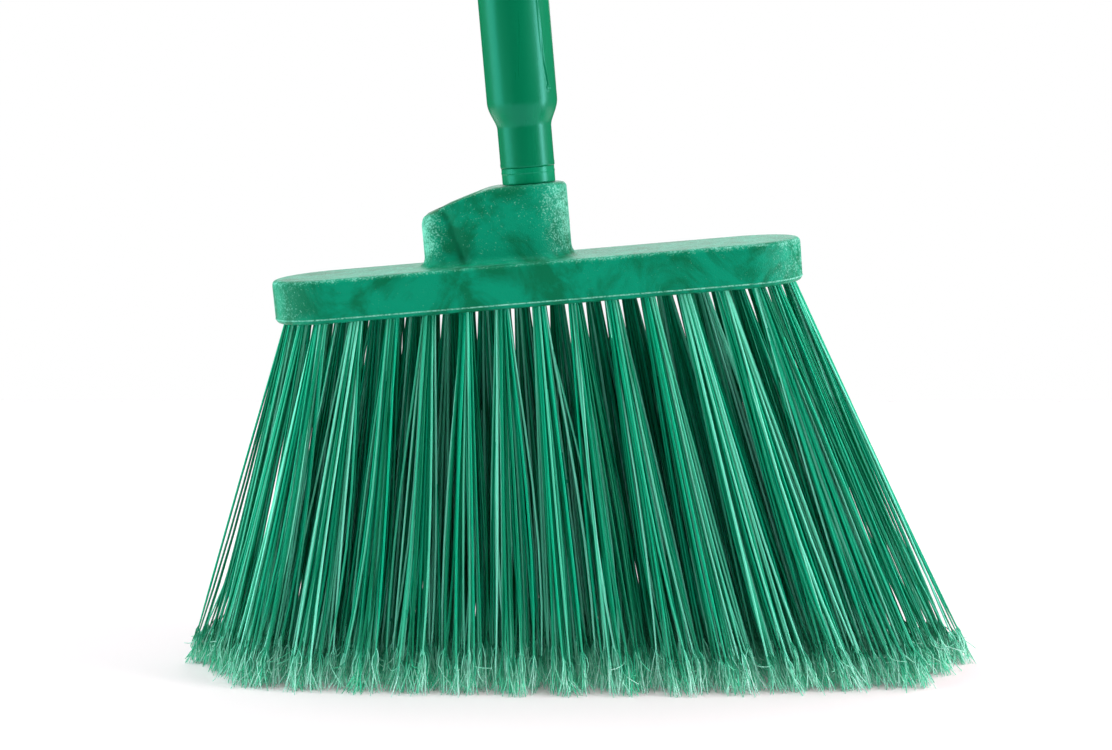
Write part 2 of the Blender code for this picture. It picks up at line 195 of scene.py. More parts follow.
def foam_skin(name):
    """Swirled green with pale specks, which one attribute thickens as wear and as painted sheen.
    A second attribute darkens a patch below the boss and paints shade along the knit line.
    """
    made, tree, shader = new_material(name)
    place = add_node(tree, "ShaderNodeTexCoord").outputs["Object"]
    wear_and_sheen = add_node(tree, "ShaderNodeAttribute", attribute_name="scuff_and_sheen").outputs["Fac"]
    patch_and_crease_shade = add_node(tree, "ShaderNodeAttribute", attribute_name="patch_and_crease_shade").outputs["Fac"]
    flow = add_node(
        tree,
        "ShaderNodeTexNoise",
        {"Vector": place, "Scale": 1 / FLOW_WIDTH, "Detail": 5.0, "Roughness": 0.6, "Distortion": 3.0},
    )
    mottle = add_node(
        tree,
        "ShaderNodeTexNoise",
        {"Vector": place, "Scale": 1 / MOTTLE_WIDTH, "Detail": 4.0, "Distortion": 0.8},
    )
    specks = add_node(
        tree,
        "ShaderNodeTexNoise",
        {"Vector": place, "Scale": 1 / SPECK_WIDTH, "Detail": 3.0, "Roughness": 0.75},
    )
    # darker where the two patches and the painted crease shade lie
    smooth = add_node(tree, "ShaderNodeMath", {0: patch_and_crease_shade, 1: 0.16}, operation="MULTIPLY")
    streaks = add_node(
        tree, "ShaderNodeMath", {0: flow.outputs[0], 1: smooth.outputs[0]}, operation="SUBTRACT"
    )
    swirl = add_node(tree, "ShaderNodeMapRange", {0: streaks.outputs[0], 1: 0.37, 2: 0.57})
    green = add_node(
        tree,
        "ShaderNodeMix",
        {0: swirl.outputs[0], 6: colour(SKIN_DARK), 7: colour(SKIN_MID)},
        data_type="RGBA",
    )
    # the mask adds wear and painted sheen to the pale specks
    ready = add_node(tree, "ShaderNodeMath", {0: wear_and_sheen, 1: 0.4}, operation="MULTIPLY")
    patch = add_node(tree, "ShaderNodeMath", {0: mottle.outputs[0], 1: 0.34}, operation="MULTIPLY")
    calm = add_node(tree, "ShaderNodeMath", {0: patch_and_crease_shade, 1: 0.2}, operation="MULTIPLY")
    specks_and_sheen = add_node(tree, "ShaderNodeMath", {0: specks.outputs[0], 1: ready.outputs[0]}, operation="ADD")
    patchy = add_node(tree, "ShaderNodeMath", {0: specks_and_sheen.outputs[0], 1: patch.outputs[0]}, operation="ADD")
    cover = add_node(tree, "ShaderNodeMath", {0: patchy.outputs[0], 1: calm.outputs[0]}, operation="SUBTRACT")
    pale_specks_and_sheen = add_node(tree, "ShaderNodeMapRange", {0: cover.outputs[0], 1: 0.85, 2: 1.1})
    skin = add_node(
        tree,
        "ShaderNodeMix",
        {0: pale_specks_and_sheen.outputs[0], 6: green.outputs[2], 7: colour(SKIN_PALE)},
        data_type="RGBA",
    )
    rough = add_node(tree, "ShaderNodeMapRange", {0: pale_specks_and_sheen.outputs[0], 3: 0.4, 4: 0.7})
    bump = add_node(
        tree, "ShaderNodeBump", {"Height": cover.outputs[0], "Strength": 0.8, "Distance": PIT_DEPTH}
    )
    tree.links.new(skin.outputs[2], shader.inputs["Base Color"])
    tree.links.new(rough.outputs[0], shader.inputs["Roughness"])
    tree.links.new(bump.outputs[0], shader.inputs["Normal"])
    shader.inputs["IOR"].default_value = POLYPROPYLENE_IOR
    shader.inputs["Specular IOR Level"].default_value = 0.35
    shader.inputs["Specular Tint"].default_value = GREEN_GLINT
    return made


foamed_polypropylene = foam_skin("foamed_polypropylene")

# %% [markdown]
# ## The block's shape: a distance, not a list of faces
#
# A moulding is soft at every edge. That is awkward to bevel where a stadium, a leaning boss, a column, two
# sockets and 54 holes meet, but easy to write as a *signed distance*: a function that is negative inside the
# material, zero on its skin and positive outside. Shapes are joined by the smaller of two distances and cut
# by the larger, and a blended minimum gives a fillet. The solid from the frame is remeshed evenly, and each
# point then slides down the distance's slope until it lies on the skin.

# %% Signed distances
def join(a, b, blend):
    """The smaller distance. Where the two differ by less than blend, a parabola below both makes a fillet."""
    near = np.maximum(blend - np.abs(a - b), 0)
    return np.minimum(a, b) - near**2 / (4 * blend)


def overlap(a, b, blend):
    """The larger distance, with the corner between the two rounded by the same parabola."""
    return -join(-a, -b, blend)


def round_bar(x, y, start, end, radius):
    """Distance in plan from a bar with round ends: length of (x past start or end, y), less the radius."""
    past = np.maximum(np.maximum(start - x, x - end), 0)
    return np.hypot(past, y) - radius


def round_box(x, y, middle, half_length, half_width, corner):
    """Distance in plan from a rectangle with round corners."""
    over_x = np.abs(x - middle) - half_length + corner
    over_y = np.abs(y) - half_width + corner
    outside = np.hypot(np.maximum(over_x, 0), np.maximum(over_y, 0))
    return outside + np.minimum(np.maximum(over_x, over_y), 0) - corner


# %% The block's sizes, as its solid has them
block_points = to_head(node_points("broom_block"), UNDERSIDE)
BLOCK_LENGTH = np.ptp(block_points[:, 0])
BLOCK_WIDTH = np.ptp(block_points[:, 1])
BLOCK_THICKNESS = 16.2 * MM
BOSS_TOP = block_points[:, 2].max()
SOCKET_RADIUS = 9.725 * MM
SOCKET_DEPTH = 20.5 * MM
BOSS_RADIUS = 13.825 * MM
LOBE_CORNER = 9 * MM
LOBE_SET_BACK = 1.2 * MM
rim = next(m for m in frame["record"]["mounts"] if m["name"] == "angled_socket_rim")
LEAN_NORMAL = TURN @ np.array(rim["axis"])
LEAN = math.atan2(-LEAN_NORMAL[0], LEAN_NORMAL[2])
lean_mouth = to_head([rim["pos_m"]], UNDERSIDE)[0] * (1, 0, 1)
lobe_end = block_points[block_points[:, 2] > BLOCK_THICKNESS + 12 * MM][:, 0].min()
print(f"block {BLOCK_LENGTH / MM:.1f} x {BLOCK_WIDTH / MM:.1f} mm")
print(f"the second socket leans {math.degrees(LEAN):.1f} degrees")


# %% Where each tuft goes in and where it ends
def tuft_facts(name):
    """Head points of a tuft's root and of the middle of its hole's mouth, and its footprint on the floor."""
    world = node_points(name)
    head = to_head(world, UNDERSIDE)
    root = head[head[:, 2] > head[:, 2].max() - 4 * MM].mean(0)
    mouth = head[np.abs(head[:, 2]) < 2 * MM].mean(0)
    floor = world[world[:, 2] < 0.1 * MM][:, :2]
    middle = (floor.min(0) + floor.max(0)) / 2
    return {"name": name, "root": root, "mouth": mouth, "middle": middle, "half": np.ptp(floor, axis=0) / 2}


tufts = [tuft_facts(name) for name in sorted(frame["nodes"]) if name.startswith("tuft_")]
TUFT_HOLE_RADIUS = 3.05 * MM
TUFT_HOLE_DEPTH = 10.5 * MM
print(len(tufts), "tufts")


# %% The block's signed distance
EDGE_BLEND = 2.4 * MM
TOP_BLEND = 2.6 * MM
LOBE_BLEND = 4.4 * MM
FOOT_BLEND = 4.5 * MM
RIM_BLEND = 1.0 * MM
MOUTH_BLEND = 0.6 * MM
CREASE_BLEND = 0.6 * MM
KNIT_WIDTH = 0.7 * MM
KNIT_DEPTH = 0.55 * MM


def block_distance(p, marks=False):
    """Slab, joined to a boss cut by a level and a sloping plane, less two round sockets and the tuft holes.

    The slab is a round-ended bar in plan between two planes. The boss is such a bar whose left end leans with
    the second socket, joined to an upright column; where the two meet, the moulding leaves a shallow knit line.
    Each socket and hole is a cylinder that stops at its depth. With marks, returns the knit line's strength,
    which paints shade along the crease.
    """
    x, y, z = p.T
    half = BLOCK_THICKNESS / 2
    end = (BLOCK_LENGTH - BLOCK_WIDTH) / 2
    slab = overlap(round_bar(x, y, -end, end, BLOCK_WIDTH / 2), np.abs(z - half) - half, EDGE_BLEND)
    lean_x = lean_mouth[0] + (lean_mouth[2] - z) * math.tan(LEAN)
    level = z - BOSS_TOP
    slope = (p - lean_mouth) @ LEAN_NORMAL
    main = overlap(round_bar(x, y, lean_x, 0.0, BOSS_RADIUS), level, TOP_BLEND)
    main = overlap(main, slope, RIM_BLEND)
    lobe_right = lean_mouth[0] + LOBE_CORNER
    lobe_middle, lobe_half = (lobe_end + lobe_right) / 2, (lobe_right - lobe_end) / 2
    lobe = round_box(x, y, lobe_middle, lobe_half, BOSS_RADIUS - LOBE_SET_BACK, LOBE_CORNER)
    lobe = overlap(lobe, slope, LOBE_BLEND)
    seam = np.exp(-(((main - lobe) / KNIT_WIDTH) ** 2))
    boss = np.maximum(join(main, lobe, CREASE_BLEND) + KNIT_DEPTH * seam, -z + 1 * MM)
    body = join(slab, boss, FOOT_BLEND)
    if marks:
        return np.where(body > slab - 0.5 * MM, 0, seam)
    bore = np.maximum(np.hypot(x, y) - SOCKET_RADIUS, BOSS_TOP - SOCKET_DEPTH - z)
    away = p - lean_mouth
    depth = away @ LEAN_NORMAL
    off_axis = np.linalg.norm(away - depth[:, None] * LEAN_NORMAL, axis=1)
    lean_bore = np.maximum(off_axis - SOCKET_RADIUS, -SOCKET_DEPTH - depth)
    body = overlap(overlap(body, -bore, RIM_BLEND), -lean_bore, RIM_BLEND)
    low = z < TUFT_HOLE_DEPTH + 3 * MM
    body[low] = overlap(body[low], -tuft_holes(p[low]), MOUTH_BLEND)
    return body


def tuft_holes(p):
    """The smallest of the distances from the 54 blind round holes, each along its own tuft."""
    nearest = np.full(len(p), 1.0)
    for tuft in tufts:
        inward = tuft["root"] - tuft["mouth"]
        inward /= np.linalg.norm(inward)
        away = p - tuft["mouth"]
        depth = away @ inward
        off_axis = np.linalg.norm(away - depth[:, None] * inward, axis=1)
        nearest = np.minimum(nearest, np.maximum(off_axis - TUFT_HOLE_RADIUS, depth - TUFT_HOLE_DEPTH))
    return nearest


def slope_of(distance, p, step=0.02 * MM):
    """The direction in which a distance grows fastest, from differences over a small step on each axis."""
    grown = [distance(p + step * axis) - distance(p - step * axis) for axis in np.eye(3)]
    return np.stack(grown, 1) / (2 * step)


# %% Remesh the block and let it settle on its skin
BLOCK_VOXEL = 0.85 * MM


def remeshed_points(node, voxel):
    """Points and quads of an even mesh of a solid. The solid itself is left as it is."""
    mesh = frame["nodes"][node].data.copy()
    shape = bmesh.new()
    shape.from_mesh(mesh)
    bmesh.ops.remove_doubles(shape, verts=shape.verts, dist=0.001 * MM)
    shape.to_mesh(mesh)
    shape.free()
    copy = bpy.data.objects.new("remesh", mesh)
    bpy.context.scene.collection.objects.link(copy)
    even = copy.modifiers.new("even", "REMESH")
    even.mode = "VOXEL"
    even.voxel_size = voxel
    result = bpy.data.meshes.new_from_object(copy.evaluated_get(bpy.context.evaluated_depsgraph_get()))
    bpy.data.objects.remove(copy)
    points = np.empty(len(result.vertices) * 3, np.float32)
    result.vertices.foreach_get("co", points)
    faces = [tuple(face.vertices) for face in result.polygons]
    return points.reshape(-1, 3).astype(float), faces


def settle(p, distance, rounds=5, longest=1.5 * MM):
    """Newton's steps to the skin: distance times slope over slope squared, each kept under a longest step."""
    for _ in range(rounds):
        grown = slope_of(distance, p)
        step = distance(p)[:, None] * grown / np.maximum((grown**2).sum(1), 0.2)[:, None]
        reach = np.linalg.norm(step, axis=1)[:, None]
        p = p - step * np.minimum(1, longest / np.maximum(reach, 1e-9))
    return p


block_even, block_faces = remeshed_points("broom_block", BLOCK_VOXEL)
block_skin = settle(to_head(block_even, UNDERSIDE), block_distance)
off_skin = np.abs(block_distance(block_skin)).max()
print(f"block: {len(block_skin)} points, off its skin by {off_skin / MM:.3f} mm at most")


# %% Rub the block where hands and walls do, and paint sheen where light falls on it
def scuff_and_sheen_of(p, n):
    """Wear and painted sheen, 0 to 1, from the normal n: most on round ends, some on top and along the edges.
    The top term and part of the ends and lobe terms are painted sheen; the edge term is wear.
    """
    # round ends: wear, plus painted sheen where the side lamps light them
    ends = np.clip(np.abs(n[:, 0]) - 0.1, 0, 1) * 0.6
    # painted sheen: top faces drawn paler, as overhead light makes them
    sheen_on_tops = np.clip(n[:, 2], 0, 1) * 0.3
    edge = np.exp(-((p[:, 2] - BLOCK_THICKNESS + 0.6 * MM) / (1.0 * MM)) ** 2) * 0.35
    on_boss = np.clip((p[:, 2] - BLOCK_THICKNESS - 1 * MM) / (6 * MM), 0, 1)
    # boss flanks: wear, plus a paler lobe as painted highlight on its lit left side
    flanks = on_boss * (0.13 + 0.1 * ends + 0.2 * np.clip((-30 * MM - p[:, 0]) / (3 * MM), 0, 1))
    return np.clip(np.maximum(ends, sheen_on_tops) + flanks + edge, 0, 1)


def patch_and_crease_shade_of(p):
    """Darker skin with fewer specks, 0 to 1: a patch below the boss and one to its upper left,
    plus painted shade along the knit line between boss and lobe.
    """
    patch_below_boss = np.exp(-(((p[:, 0] - 3 * MM) / (8 * MM)) ** 4) - ((p[:, 2] - 7 * MM) / (9 * MM)) ** 4)
    upper_left_patch = np.exp(-(((p[:, 0] + 18 * MM) / (14 * MM)) ** 2) - ((p[:, 2] - 13 * MM) / (4 * MM)) ** 2)
    # the knit line's strength is painted shade in the crease between boss and lobe
    return np.clip(patch_below_boss + 0.7 * upper_left_patch, 0, 1) + 0.9 * block_distance(p, marks=True)


block_normals = slope_of(block_distance, block_skin)
block_normals /= np.maximum(np.linalg.norm(block_normals, axis=1), 1e-6)[:, None]
block = piece(
    "moulded_block",
    to_world(block_skin, UNDERSIDE),
    block_faces,
    foamed_polypropylene,
    # the first attribute carries wear and painted sheen, the second a dark patch and painted crease shade
    {"scuff_and_sheen": scuff_and_sheen_of(block_skin, block_normals), "patch_and_crease_shade": patch_and_crease_shade_of(block_skin)},
)
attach(block, "head")
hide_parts("broom_block")

# %% [markdown]
# ## The parting line
#
# The mould for the block opens just above its underside and leaves a fine bead all the way round. It is a
# thin tube swept along the block's outline and half sunk in its side. The outline is two half circles: at
# each angle a point lies half a width from the centre of the nearer end.

# %% Sweep the parting line
PARTING_HEIGHT = 1.8 * MM
PARTING_RADIUS = 0.28 * MM
PARTING_SUNK = 0.12 * MM
PARTING_SIDES = 8


def swept_ring(outline, out, radius, sides):
    """A closed tube: each outline point plus the radius times cosine along out and sine along up."""
    angle = 2 * np.pi * np.arange(sides) / sides
    ring = np.cos(angle)[:, None] * out[:, None] + np.sin(angle)[:, None] * np.array([0, 0, 1.0])
    points = outline[:, None] + radius * ring
    return np.concatenate([points, points[:1]])


turn = np.linspace(0, 2 * np.pi, 320, endpoint=False)
outward = np.stack([np.cos(turn), np.sin(turn), 0 * turn], 1)
end_centre = (BLOCK_LENGTH - BLOCK_WIDTH) / 2 * np.sign(np.cos(turn))
outline = outward * BLOCK_WIDTH / 2 + np.stack([end_centre, 0 * turn, 0 * turn + PARTING_HEIGHT], 1)
bead = swept_ring(outline - outward * PARTING_SUNK, outward, PARTING_RADIUS, PARTING_SIDES)
bead_points = to_world(bead.reshape(-1, 3), UNDERSIDE)
parting_line = piece(
    "parting_line",
    bead_points,
    grid_faces(len(bead), PARTING_SIDES).tolist(),
    foamed_polypropylene,
    {"scuff_and_sheen": np.full(len(bead_points), 0.8)},
)
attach(parting_line, "head")
print(f"parting line: {2 * (BLOCK_LENGTH - BLOCK_WIDTH + np.pi * BLOCK_WIDTH / 2) / MM:.0f} mm round")

# %% [markdown]
# ## The bristles' material: extruded, flagged filament
#
# Each bristle is a straight extruded filament of about 0.9 mm, glossy along its length. Its last 14 mm are
# *flagged*: split by machine into fine hairs, which scatter light and look pale mint. Two point attributes
# carry that: tint is one number for a whole filament, and fray runs from 0 on the shaft to 1 at a hair's end.
# Tint differs at random, and its pale end is also painted highlight, standing in for filaments that catch light.

# %% Extruded filament
FILAMENT_IOR = 1.5
HAIR_GLOW = 0.05  # thin hairs pass light on to each other, which a weak glow stands in for


def filament_finish(name):
    """Green between two tints, turning to pale mint as fray grows."""
    made, tree, shader = new_material(name)
    tint = add_node(tree, "ShaderNodeAttribute", attribute_name="tint").outputs["Fac"]
    fray = add_node(tree, "ShaderNodeAttribute", attribute_name="fray").outputs["Fac"]
    green = add_node(tree, "ShaderNodeValToRGB", {0: tint})
    # random tone per filament; the pale end and the middle stop also paint highlight on many filaments
    green.color_ramp.elements[0].color = colour("#006a44")
    green.color_ramp.elements[1].color = colour("#84f0d2")
    green.color_ramp.elements.new(0.55).color = colour("#00aa7e")
    mint = add_node(
        tree, "ShaderNodeMix", {0: tint, 6: colour("#2cc794"), 7: colour("#d6fff3")}, data_type="RGBA"
    )
    both = add_node(
        tree, "ShaderNodeMix", {0: fray, 6: green.outputs[0], 7: mint.outputs[2]}, data_type="RGBA"
    )
    rough = add_node(tree, "ShaderNodeMapRange", {0: fray, 3: 0.24, 4: 0.6})
    tree.links.new(both.outputs[2], shader.inputs["Base Color"])
    tree.links.new(rough.outputs[0], shader.inputs["Roughness"])
    glow = add_node(tree, "ShaderNodeMath", {0: fray, 1: HAIR_GLOW}, operation="MULTIPLY")
    tree.links.new(glow.outputs[0], shader.inputs["Emission Strength"])
    shader.inputs["Emission Color"].default_value = colour("#5fd8b4")
    shader.inputs["IOR"].default_value = FILAMENT_IOR
    shader.inputs["Specular Tint"].default_value = GREEN_GLINT
    return made


extruded_filament = filament_finish("extruded_filament")

# %% [markdown]
# ## The tufts
#
# A tuft is a bundle of some forty filaments, packed like sunflower seeds in its round hole and spread over
# its patch of floor. A filament is a thin tube carried along a path, and so is a hair, so one function makes
# both from whole arrays of paths. Filaments leave the hole nearly straight, bow a little, and lean outwards
# towards their ends, where machine flagging has opened them.

# %% Tubes along many paths at once
def tubes(paths, radii, sides):
    """Round tubes: a ring of radius r about each path point, on two directions square to the path's chord.

    paths is (tubes, points, 3) and radii (tubes, points). Returns points and faces, with both ends closed.
    """
    count, length = paths.shape[:2]
    chord = paths[:, -1] - paths[:, 0]
    chord /= np.linalg.norm(chord, axis=1)[:, None]
    side = np.cross(chord, [0.3, 1.0, 0.1])
    side /= np.linalg.norm(side, axis=1)[:, None]
    other = np.cross(chord, side)
    angle = 2 * np.pi * np.arange(sides) / sides
    ring = np.cos(angle)[:, None] * side[:, None] + np.sin(angle)[:, None] * other[:, None]
    points = paths[:, :, None] + radii[:, :, None, None] * ring[:, None]
    first = (np.arange(count) * length * sides)[:, None, None]
    walls = (grid_faces(length, sides)[None] + first).reshape(-1, 4)
    near = np.arange(sides)[::-1][None] + first[:, :, 0]
    far = np.arange(sides)[None] + (length - 1) * sides + first[:, :, 0]
    return points.reshape(-1, 3), [*walls.tolist(), *near.tolist(), *far.tolist()]


# %% The paths of one tuft's filaments
FILAMENTS = 38
FILAMENT_RADIUS = 0.46 * MM
FLAG_LENGTH = 14 * MM
SHAFT_SIDES = 5
SHAFT_STOPS = np.array([0.0, 0.16, 0.32, 0.48, 0.64, 0.8, 0.92, 1.0])
FOOT_SPREAD = 1.12  # against the solid tuft's footprint
FOOT_SCATTER = np.array([1.2, 1.2, 0]) * MM
STRAY_SHARE = 0.04
STRAY_SCATTER = np.array([6, 4, 0]) * MM
OUTWARD_LEAN = np.array([0.02, 0.16])  # as shares of a tuft's distance from the middle, along and across
BOW = np.array([1.5, 1.2, 0]) * MM


def kept_in(points, margin):
    """Points whose x and y are held within the solids' box, widened by a margin."""
    low = np.array(cad_box[0])[:2] - margin
    high = np.array(cad_box[1])[:2] + margin
    return np.concatenate([np.clip(points[:, :2], low, high), points[:, 2:]], 1)


def filament_paths(tuft):
    """World paths of the shafts, from the root down to the floor, as (filaments, stops, 3).

    A path is the straight line from the hole's mouth to a point on the floor, plus a bow that is
    widest past half way, plus an outward lean that grows as the fourth power of the way down.
    """
    order = np.arange(FILAMENTS)
    reach = np.sqrt((order + 0.5) / FILAMENTS)
    angle = order * math.pi * (3 - math.sqrt(5)) + rng.uniform(0, 2 * math.pi)
    spot = np.stack([reach * np.cos(angle), reach * np.sin(angle), np.zeros(FILAMENTS)], 1)
    packed = spot * (TUFT_HOLE_RADIUS - 0.75 * MM)
    root = to_world(tuft["root"] + packed, UNDERSIDE)
    mouth = to_world(tuft["mouth"] + packed, UNDERSIDE)
    spread = spot * [*(tuft["half"] * FOOT_SPREAD), 0] + rng.normal(0, 1, (FILAMENTS, 3)) * FOOT_SCATTER
    stray = rng.random(FILAMENTS) < STRAY_SHARE
    spread[stray] += rng.normal(0, 1, (stray.sum(), 3)) * STRAY_SCATTER
    foot = np.array([*tuft["middle"], 0.0]) + spread
    foot = kept_in(foot, 1 * MM)
    foot[:, 2] = rng.uniform(2.0, 6.0, FILAMENTS) * MM
    lean = tuft["middle"] * OUTWARD_LEAN
    way = SHAFT_STOPS[None, :, None]
    bow = rng.normal(0, 1, (FILAMENTS, 1, 3)) * BOW
    line = mouth[:, None] + (foot - mouth)[:, None] * way
    line = line + bow * 5.4 * way**1.5 * (1 - way) + np.array([*lean, 0]) * way**4
    return np.concatenate([root[:, None], line], 1)


# %% Shafts, hairs and the whole tuft
HAIRS = 9
HAIR_RADIUS = 0.19 * MM  # real hairs are a third as thick: drawn coarser so that they show
HAIR_SIDES = 3
HAIR_STOPS = np.linspace(0, 1, 6)
HAIR_SCATTER = np.array([2.0, 2.0, 0]) * MM
HAIR_CURL = np.array([0.7, 0.7, 0.3]) * MM
WILD_SHARE = 0.07
WILD_SCATTER = np.array([3.0, 3.0, 0]) * MM


def point_at(paths, way):
    """The place at each path's own share of the way from mouth to floor, between its two nearest stops."""
    stop = np.clip(np.searchsorted(SHAFT_STOPS, way, side="right") - 1, 0, len(SHAFT_STOPS) - 2)
    pick = np.arange(len(paths))
    before, after = paths[pick, stop + 1], paths[pick, stop + 2]
    share = (way - SHAFT_STOPS[stop]) / (SHAFT_STOPS[stop + 1] - SHAFT_STOPS[stop])
    return before + (after - before) * share[:, None]


def hair_paths(paths):
    """Fine hairs from the split to the floor. Each fans out as a power of its way, and curls a little."""
    long = np.linalg.norm(paths[:, -1] - paths[:, 1], axis=1)
    which = np.repeat(np.arange(len(paths)), HAIRS)
    count = len(which)
    split = rng.uniform(0.7, 1.1, len(paths))[which] * rng.uniform(0.3, 1.0, count) ** 0.4
    start = point_at(paths[which], 1 - FLAG_LENGTH / long[which] * split)
    end = paths[which, -1] + rng.normal(0, 1, (count, 3)) * HAIR_SCATTER
    wild = rng.random(count) < WILD_SHARE
    end[wild] += rng.normal(0, 1, (wild.sum(), 3)) * WILD_SCATTER
    end[:, 2] = rng.uniform(0.0, 1.0, count) ** 2 * 1.6 * MM
    end[wild, 2] += rng.uniform(2, 12, wild.sum()) * MM
    end = kept_in(end, 5 * MM)
    way = HAIR_STOPS[None, :, None]
    fall = paths[which, -1] - start
    fan = (end - start - fall)[:, None] * way**1.9
    curl = rng.normal(0, 1, (count, 1, 3)) * HAIR_CURL * np.sin(1.4 * np.pi * way)
    return start[:, None] + fall[:, None] * way + fan + curl, which


def make_tuft(tuft):
    """One mesh of a tuft's shafts and hairs, with the tint and fray of every point."""
    paths = filament_paths(tuft)
    # skewed towards pale: random tone, and painted highlight on the pale ones
    shade = rng.beta(0.9, 1.0, FILAMENTS)
    stops = len(SHAFT_STOPS) + 1
    shaft_radii = np.full((FILAMENTS, stops), FILAMENT_RADIUS) * rng.uniform(0.85, 1.1, (FILAMENTS, 1))
    shaft_radii[:, -1] *= 0.25
    shaft_radii[:, -2] *= 0.7
    shaft_points, shaft_faces = tubes(paths, shaft_radii, SHAFT_SIDES)
    hairs, which = hair_paths(paths)
    hair_radii = HAIR_RADIUS * np.linspace(1.25, 0.8, len(HAIR_STOPS))[None] * np.ones((len(hairs), 1))
    hair_points, hair_faces = tubes(hairs, hair_radii, HAIR_SIDES)
    offset = len(shaft_points)
    faces = shaft_faces + [[k + offset for k in face] for face in hair_faces]
    shaft_fray = np.array([0, 0, 0, 0, 0, 0, 0, 0.1, 0.5])
    hair_fray = np.clip(HAIR_STOPS * 1.3, 0, 1)
    hair_shade = 0.2 * shade[which] + 0.8 * rng.beta(0.45, 0.55, len(which))
    shaft_tint = np.repeat(shade, stops * SHAFT_SIDES)
    hair_tint = np.repeat(hair_shade, len(HAIR_STOPS) * HAIR_SIDES)
    tint = np.concatenate([shaft_tint, hair_tint])
    shaft_fray = np.tile(np.repeat(shaft_fray, SHAFT_SIDES), FILAMENTS)
    hair_fray = np.tile(np.repeat(hair_fray, HAIR_SIDES), len(hairs))
    fray = np.concatenate([shaft_fray, hair_fray])
    points = np.concatenate([shaft_points, hair_points])
    points[:, 2] = np.maximum(points[:, 2], 0.02 * MM)
    facts = {"tint": tint, "fray": fray}
    return piece(tuft["name"] + "_filaments", points, faces, extruded_filament, facts)


for tuft in tufts:
    bundle = make_tuft(tuft)
    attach(bundle, "head")
    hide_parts(tuft["name"])
print(len(tufts), "tufts of", FILAMENTS, "filaments and", FILAMENTS * HAIRS, "hairs")

# %% [markdown]
# ## What holds the tufts
#
# The filaments are folded in half at the bottom of their hole, and a short piece of flat steel wire is
# driven across the fold until its ends bite into the walls. These anchors are hidden once the broom is made.
# All 54 are one mesh: straight tubes with four sides, a little longer than the holes are wide.

# %% Wire anchors
ANCHOR_DEPTH = 8.5 * MM
ANCHOR_REACH = 3.4 * MM
ANCHOR_RADIUS = 0.9 * MM
ZINC_GRAIN = 1.1 * MM
anchor_wire, anchor_tree, anchor_shader = new_material("galvanised_wire")
wire_place = add_node(anchor_tree, "ShaderNodeTexCoord").outputs["Object"]
wire_noise = add_node(anchor_tree, "ShaderNodeTexNoise", {"Vector": wire_place, "Scale": 1 / ZINC_GRAIN})
wire_gloss = add_node(anchor_tree, "ShaderNodeMapRange", {0: wire_noise.outputs[0], 3: 0.3, 4: 0.5})
anchor_tree.links.new(wire_gloss.outputs[0], anchor_shader.inputs["Roughness"])
anchor_shader.inputs["Base Color"].default_value = colour("#a9acae")
anchor_shader.inputs["Metallic"].default_value = 1.0

mouths = np.array([tuft["mouth"] for tuft in tufts])
inward = np.array([tuft["root"] for tuft in tufts]) - mouths
inward /= np.linalg.norm(inward, axis=1)[:, None]
middles = mouths + inward * ANCHOR_DEPTH
ends = np.stack([middles - ANCHOR_REACH * ACROSS, middles + ANCHOR_REACH * ACROSS], 1)
anchor_points, anchor_faces = tubes(ends, np.full((len(tufts), 2), ANCHOR_RADIUS), 4)
anchors = piece("tuft_anchors", to_world(anchor_points, UNDERSIDE), anchor_faces, anchor_wire)
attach(anchors, "head")
print(len(tufts), "anchors", 2 * ANCHOR_REACH / MM, "mm long")

# %% [markdown]
# ## The handle's materials
#
# The tube is plain steel under a thin sleeve of extruded polypropylene. A sleeve is smooth and glossy, so it
# mirrors long lamps as streaks, though its surface waves slightly along its length. The tip and the cap are
# injection moulded in thicker plastic, with a finer wave.

# %% Sleeve, moulded and steel finishes
DRAWN_LINE = 0.4 * MM


def green_plastic(name, code, roughness, wave_width, wave_depth):
    """One green, with a broad shallow wave in the surface and a faint change of gloss."""
    made, tree, shader = new_material(name)
    place = add_node(tree, "ShaderNodeTexCoord").outputs["Object"]
    stretched = add_node(tree, "ShaderNodeMapping", {"Vector": place, "Scale": (1.0, 1.0, 0.06)})
    wave = add_node(
        tree, "ShaderNodeTexNoise", {"Vector": stretched.outputs[0], "Scale": 1 / wave_width, "Detail": 4.0}
    )
    lighter = tuple(min(1.0, channel * 1.12) for channel in colour(code))
    tone = add_node(
        tree, "ShaderNodeMix", {0: wave.outputs[0], 6: colour(code), 7: lighter}, data_type="RGBA"
    )
    gloss = add_node(
        tree,
        "ShaderNodeMapRange",
        {0: wave.outputs[0], 1: 0.3, 2: 0.7, 3: roughness * 0.85, 4: roughness * 1.2},
    )
    bump = add_node(
        tree, "ShaderNodeBump", {"Height": wave.outputs[0], "Strength": 0.4, "Distance": wave_depth}
    )
    tree.links.new(tone.outputs[2], shader.inputs["Base Color"])
    tree.links.new(gloss.outputs[0], shader.inputs["Roughness"])
    tree.links.new(bump.outputs[0], shader.inputs["Normal"])
    shader.inputs["IOR"].default_value = POLYPROPYLENE_IOR
    shader.inputs["Specular Tint"].default_value = GREEN_GLINT
    return made


